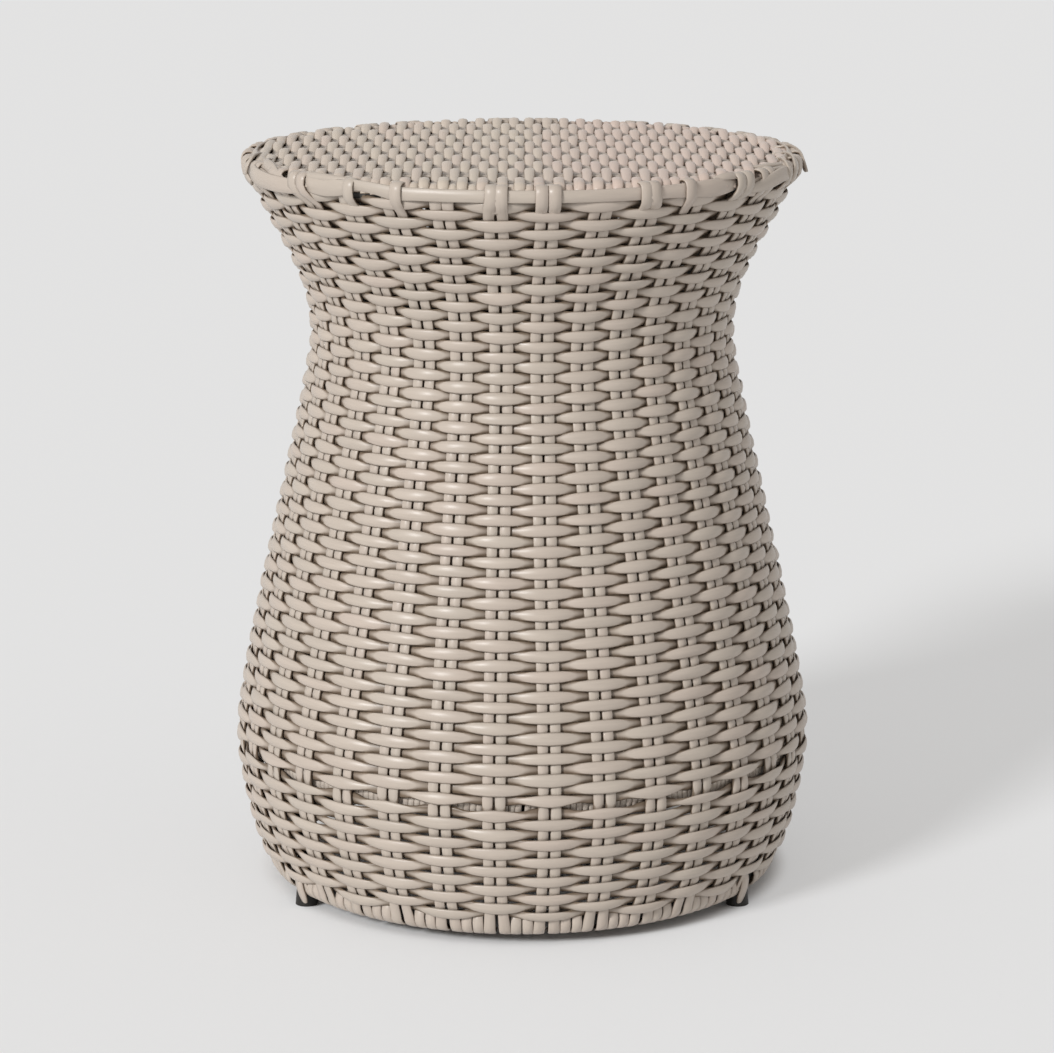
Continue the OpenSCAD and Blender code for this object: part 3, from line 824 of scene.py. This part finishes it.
# each knot is (degrees from the front to the right, radius, height, width of the strand there)
band = {
    "thick": 0.0024,
    "steps": 8,                # points from one knot to the next
    "unevenTilt": 0.04,
    "tiltPoints": 7,
    "strands": {
        "front": (
            (-51, 0.2030, 0.5492, 0.0050), (-49, 0.2042, 0.5495, 0.0090), (-46, 0.2051, 0.5497, 0.0125),
            (-42, 0.2052, 0.5494, 0.0134), (-37, 0.2052, 0.5508, 0.0112), (-34.5, 0.2050, 0.5530, 0.0082),
            (-30, 0.2052, 0.5518, 0.0084), (-25.5, 0.2053, 0.5496, 0.0100), (-20, 0.2053, 0.5496, 0.0092),
            (-6, 0.2053, 0.5497, 0.0090), (10, 0.2053, 0.5495, 0.0090), (20, 0.2053, 0.5496, 0.0092),
            (30, 0.2053, 0.5497, 0.0096), (37, 0.2053, 0.5495, 0.0115), (42, 0.2052, 0.5494, 0.0130),
            (46, 0.2044, 0.5490, 0.0090), (48.5, 0.2028, 0.5485, 0.0040)),
        "left": (
            (-166, 0.2033, 0.5496, 0.0050), (-156, 0.2040, 0.5498, 0.0085), (-146, 0.2051, 0.5498, 0.0090),
            (-110, 0.2052, 0.5500, 0.0092), (-80, 0.2052, 0.5500, 0.0090), (-68, 0.2050, 0.5503, 0.0085),
            (-55.5, 0.2040, 0.5468, 0.0060), (-50, 0.2030, 0.5465, 0.0050)),
        "right": (
            (51, 0.2028, 0.5462, 0.0080), (54, 0.2042, 0.5466, 0.0095), (60, 0.2050, 0.5482, 0.0095),
            (68.5, 0.2051, 0.5506, 0.0095), (80, 0.2052, 0.5505, 0.0090), (115, 0.2052, 0.5500, 0.0090),
            (146, 0.2051, 0.5498, 0.0090), (156, 0.2040, 0.5498, 0.0085), (166, 0.2033, 0.5496, 0.0050)),
        "back": (
            (147, 0.2058, 0.5499, 0.0060), (152, 0.2062, 0.5500, 0.0088), (180, 0.2061, 0.5501, 0.0092),
            (208, 0.2062, 0.5500, 0.0088), (213, 0.2058, 0.5499, 0.0060)),
    },
}

# ends of strands that are bound in round the rim, left and right, with knots of the same kind
bound = {
    "thick": 0.0026,
    "steps": 7,
    "core": (0.1915, 0.5474),  # radius and height of what they lie round, the middle of the top ring
    "strands": {
        "leftEdge": (
            (-122, 0.1935, 0.5545, 0.0050), (-112, 0.1982, 0.5552, 0.0090), (-100, 0.1996, 0.5550, 0.0105),
            (-88, 0.1998, 0.5550, 0.0105), (-76, 0.1990, 0.5552, 0.0095), (-64, 0.1950, 0.5548, 0.0060)),
        "rightEdge": (
            (62, 0.1950, 0.5548, 0.0060), (74, 0.1990, 0.5552, 0.0095), (88, 0.1998, 0.5550, 0.0105),
            (100, 0.1996, 0.5550, 0.0105), (112, 0.1982, 0.5552, 0.0090), (122, 0.1935, 0.5545, 0.0050)),
        "leftOuter": (
            (-80, 0.1866, 0.5568, 0.0075), (-80.3, 0.1960, 0.5573, 0.0080), (-74.5, 0.2045, 0.5572, 0.0085),
            (-73.5, 0.2088, 0.5525, 0.0085), (-74, 0.2088, 0.5463, 0.0085), (-72.5, 0.2060, 0.5405, 0.0070)),
        "leftInner": (
            (-72, 0.1930, 0.5570, 0.0070), (-68, 0.2005, 0.5572, 0.0080), (-62, 0.2044, 0.5562, 0.0085),
            (-57.5, 0.2075, 0.5522, 0.0085), (-54.5, 0.2080, 0.5475, 0.0080),
            (-53.1, 0.2062, 0.5425, 0.0070)),
        "leftWide": (
            (-69, 0.2030, 0.5555, 0.0060), (-69.4, 0.2078, 0.5528, 0.0090), (-66.5, 0.2094, 0.5490, 0.0120),
            (-60.1, 0.2092, 0.5470, 0.0122), (-54.1, 0.2084, 0.5468, 0.0116), (-49, 0.2055, 0.5464, 0.0090)),
        "leftLeaf": (
            (-50.6, 0.2020, 0.5552, 0.0030), (-47, 0.2040, 0.5562, 0.0052), (-43, 0.2046, 0.5563, 0.0055),
            (-39.5, 0.2042, 0.5562, 0.0045), (-36.5, 0.2020, 0.5560, 0.0030)),
        "rightLeaf": (
            (41.5, 0.2030, 0.5550, 0.0030), (44, 0.2048, 0.5562, 0.0055), (46.5, 0.2046, 0.5560, 0.0055),
            (49, 0.2030, 0.5545, 0.0030)),
        "rightWide": (
            (51.5, 0.2040, 0.5440, 0.0050), (54.5, 0.2068, 0.5455, 0.0085), (58.8, 0.2084, 0.5482, 0.0108),
            (63.5, 0.2090, 0.5508, 0.0108), (67, 0.2084, 0.5500, 0.0095), (69, 0.2060, 0.5450, 0.0060)),
        "rightLoop": (
            (73.6, 0.1869, 0.5566, 0.0060), (72.8, 0.1965, 0.5572, 0.0065), (69, 0.2045, 0.5570, 0.0068),
            (67.4, 0.2092, 0.5530, 0.0068), (67.4, 0.2096, 0.5480, 0.0068), (67, 0.2070, 0.5430, 0.0060)),
        "rightOuter": (
            (82, 0.1860, 0.5568, 0.0070), (82, 0.1955, 0.5573, 0.0075), (76, 0.2045, 0.5570, 0.0078),
            (72, 0.2090, 0.5520, 0.0078), (71.2, 0.2088, 0.5465, 0.0075), (71, 0.2065, 0.5420, 0.0060)),
        "rightEnd": (
            (96, 0.1900, 0.5566, 0.0075), (94, 0.2010, 0.5568, 0.0090), (89, 0.2068, 0.5535, 0.0100),
            (85, 0.2090, 0.5485, 0.0090), (83.5, 0.2106, 0.5455, 0.0045), (83, 0.2114, 0.5443, 0.0015)),
        "rightTwist": (
            (57.5, 0.1935, 0.5566, 0.0032), (60.5, 0.1995, 0.5572, 0.0036), (64, 0.2030, 0.5570, 0.0036),
            (67.5, 0.2045, 0.5556, 0.0032)),
        "rightTwistBelow": (
            (56.5, 0.1985, 0.5555, 0.0032), (60, 0.2050, 0.5552, 0.0036), (64.5, 0.2062, 0.5548, 0.0036),
            (68, 0.2060, 0.5535, 0.0030)),
    },
}


def layBand(finishes):
    bm = bmesh.new()
    for knots in band["strands"].values():
        path = smoothKnots(knots, band["steps"])
        turn = np.radians(path[:, 0])
        marks = np.linspace(turn[0], turn[-1], band["tiltPoints"])
        tilt = np.interp(turn, marks, dice.normal(0, band["unevenTilt"], len(marks)))
        centres = polar(path[:, 1], turn, path[:, 2])
        layStrand(bm, centres, polar(np.sin(tilt), turn, np.cos(tilt)), path[:, 3], band["thick"], "flat")
    for knots in bound["strands"].values():
        path = smoothKnots(knots, bound["steps"])
        turn = np.radians(path[:, 0])
        centres = polar(path[:, 1], turn, path[:, 2])
        outward = polar(path[:, 1] - bound["core"][0], turn, path[:, 2] - bound["core"][1])
        across = np.cross(outward, np.gradient(centres, axis=0))
        layStrand(bm, centres, across, path[:, 3], bound["thick"], "flat")
    finishPiece(bm, "rimBand", finishes["band"], "band_strand", "rim_band")


# strands wound round the rings

wraps = {
    "bellyWide": 0.0045,
    "bellyPitch": 0.0044,      # of the loops, along the ring
    "bellyThick": 0.0017,
    "bellyOut": 0.0122,        # from the middle of a loop to the middle of the strand
    "bellyDrop": 0.0040,       # how far the loops hang below the middle of the ring
    "bellySteps": 9,           # points of one loop
    "bellyStart": 0.01,
    "baseWide": 0.0079,
    "baseApart": 0.52,         # from the middle between two pairs to the middle of a wrap, in its widths
    "baseThick": 0.0030,
    "baseOut": 0.0094,         # from the middle of the base ring to the middle of a wrap
    "baseTurns": 0.94,
    "baseSteps": 17,
    "unevenPlace": 0.0006,
    "unevenLean": 0.002,
    "unevenWidth": 0.03,
    "legRoom": 0.0125,         # half the space that a leg keeps free
    "footTurns": (-57, 57),
    # strand bound down over a front foot: radius, height, width
    "footStrand": ((0.1945, 0.0350, 0.0060), (0.1985, 0.0260, 0.0085), (0.1980, 0.0180, 0.0100),
                   (0.1955, 0.0100, 0.0100), (0.1938, 0.0050, 0.0055)),
    "footSteps": 6,
}


def windRing(bm, ring, around, span, turns, width, thick, points):
    # winds a strand in turns round a ring, from one angle round the table to another
    count = int(turns * points) + 1
    turn = np.linspace(*span, count)
    roll = np.linspace(-math.pi, (2 * turns - 1) * math.pi, count)
    centres = polar(ring[0] + around * np.cos(roll), turn, ring[1] + around * np.sin(roll))
    across = np.stack([-np.cos(turn), -np.sin(turn), 0 * turn], axis=1)
    layStrand(bm, centres, across, width, thick, "flat")


def wrapRings(finishes):
    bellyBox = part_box("belly_ring")
    ring = (bellyBox[1][0] - tubeRadius, (bellyBox[0][2] + bellyBox[1][2]) / 2 - wraps["bellyDrop"])
    bm = bmesh.new()
    turns = int(2 * math.pi * ring[0] / wraps["bellyPitch"])
    windRing(bm, ring, wraps["bellyOut"], (wraps["bellyStart"], 2 * math.pi), turns, wraps["bellyWide"],
             wraps["bellyThick"], wraps["bellySteps"])
    finishPiece(bm, "bellyRingWrap", finishes["innerWrap"], "stake_strand", "belly_ring_wrap")
    bm = bmesh.new()
    for gap in range(side["pairs"]):
        for hand in (-1, 1):
            turn = gap * pairTurn + hand * wraps["baseWide"] * wraps["baseApart"] / baseRing[0]
            turn = turn + dice.normal(0, wraps["unevenPlace"])
            if abs(math.radians(fromLeg(turn)) * baseRing[0]) > wraps["legRoom"]:
                lean = dice.normal(0, wraps["unevenLean"])
                width = wraps["baseWide"] * (1 + dice.normal(0, wraps["unevenWidth"]))
                windRing(bm, baseRing, wraps["baseOut"], (turn - lean, turn + lean), wraps["baseTurns"],
                         width, wraps["baseThick"], wraps["baseSteps"])
    for degrees in wraps["footTurns"]:
        path = smoothKnots(wraps["footStrand"], wraps["footSteps"])[::-1]
        turn = math.radians(degrees)
        across = np.tile((-math.cos(turn), -math.sin(turn), 0), (len(path), 1))
        layStrand(bm, polar(path[:, 0], turn, path[:, 1]), across, path[:, 2], wraps["baseThick"], "flat")
    finishPiece(bm, "baseRingWrap", finishes["wrap"], "stake_strand", "base_ring_wrap")


# frame and feet

def finishFrame(finishes):
    rings = ("waist_ring", "belly_ring", "base_ring")
    for name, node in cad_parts.items():
        if name.startswith("foot_"):
            node.material_slots[0].material = finishes["rubber"]
        elif name.startswith(("leg_", "top_bar", "top_ring")) or name in rings:
            node.material_slots[0].material = finishes["powder"]
    print("frame and feet finished")


placeCamera()
lightScene()
layFloor()
finishes = makeFinishes()
finishFrame(finishes)
weaveSide(finishes)
setStakes(finishes)
weaveTop(finishes)
layBand(finishes)
wrapRings(finishes)
for blank in blanks.values():
    bpy.data.meshes.remove(blank[0])

bpy.context.scene.view_settings.view_transform = "Standard"
print("table finished")
